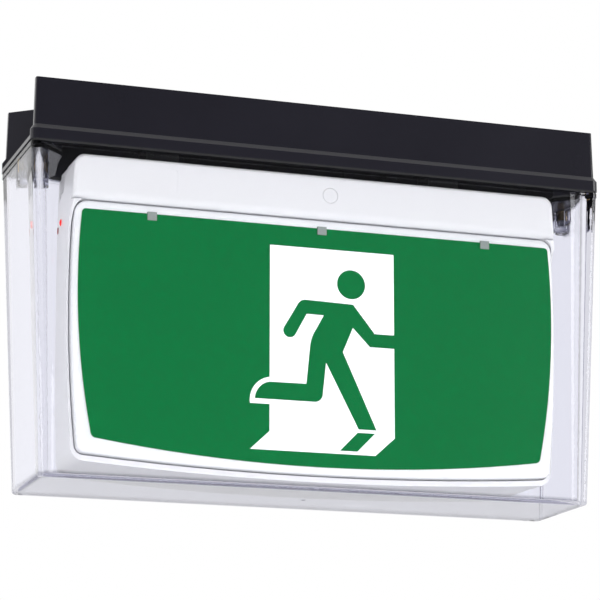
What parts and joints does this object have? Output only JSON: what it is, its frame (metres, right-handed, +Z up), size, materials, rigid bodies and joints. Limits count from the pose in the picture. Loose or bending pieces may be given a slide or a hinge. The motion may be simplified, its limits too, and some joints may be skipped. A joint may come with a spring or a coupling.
{
  "type": "emergency exit light",
  "caption": "Ceiling-fixed weatherproof emergency exit sign: black base tray, deep clear cover, white lit sign body with green running-figure legend.",
  "frame": {"origin": "mouth of the cable entry in the middle of the ceiling face", "axes": "+Z up, out of the ceiling face; -Y is the front with the legend; +X to the right as seen from the front"},
  "size_m": [0.436, 0.102, 0.284],
  "materials": {
    "base_tray": "satin black moulding",
    "tray_gasket": "soft dull seal",
    "clear_cover": "clear polished moulding",
    "cover_screws": "plain bright steel",
    "cover_screw_washers": "plain bright steel",
    "cover_inserts": "knurled, pressed in",
    "hanger_bracket_left": "zinc plated sheet",
    "hanger_bracket_right": "zinc plated sheet",
    "hanger_screws": "zinc plated",
    "front_frame": "smooth white moulding",
    "centre_plug": "smooth white moulding",
    "rear_housing": "smooth white moulding",
    "diffuser": "milky translucent moulding",
    "legend_panel": "green film on a clear sheet",
    "legend_print": "white fields of the sign",
    "legend_clips": "translucent grey tongues",
    "light_guide": "clear sheet, lit from its top edge",
    "reflector_sheet": "matt white film",
    "led_strip": "white board with lamps",
    "chassis_plate": "white painted sheet steel",
    "chassis_screws": "zinc plated",
    "battery_pack": "shrink sleeve over cells",
    "battery_straps": "white moulding",
    "board_standoffs": "black spacer",
    "driver_board": "circuit board with its parts",
    "terminal_block": "pale grey moulding",
    "indicator_lens": "red lamp lens",
    "test_button": "dark red button",
    "test_switch": "black switch"
  },
  "bodies": {
    "light": {"base_tray": "base_tray", "tray_gasket": "tray_gasket", "clear_cover": "clear_cover", "cover_screws": "cover_screws", "cover_screw_washers": "cover_screw_washers", "cover_inserts": "cover_inserts", "hanger_bracket_left": "hanger_bracket_left", "hanger_bracket_right": "hanger_bracket_right", "hanger_screws": "hanger_screws", "front_frame": "front_frame", "centre_plug": "centre_plug", "rear_housing": "rear_housing", "diffuser": "diffuser", "legend_panel": "legend_panel", "legend_print": "legend_print", "legend_clips": "legend_clips", "light_guide": "light_guide", "reflector_sheet": "reflector_sheet", "led_strip": "led_strip", "chassis_plate": "chassis_plate", "chassis_screws": "chassis_screws", "battery_pack": "battery_pack", "battery_straps": "battery_straps", "board_standoffs": "board_standoffs", "driver_board": "driver_board", "terminal_block": "terminal_block", "indicator_lens": "indicator_lens", "test_switch": "test_switch"},
    "button": {"test_button": "test_button"}
  },
  "joints": [
    {"name": "test_button_slide", "type": "slide", "parent": "light", "child": "button", "axis": [1, 0, 0], "range_m": [0, 0.0015], "stiffness_N_per_m": 400, "springref_m": -0.001}
  ]
}
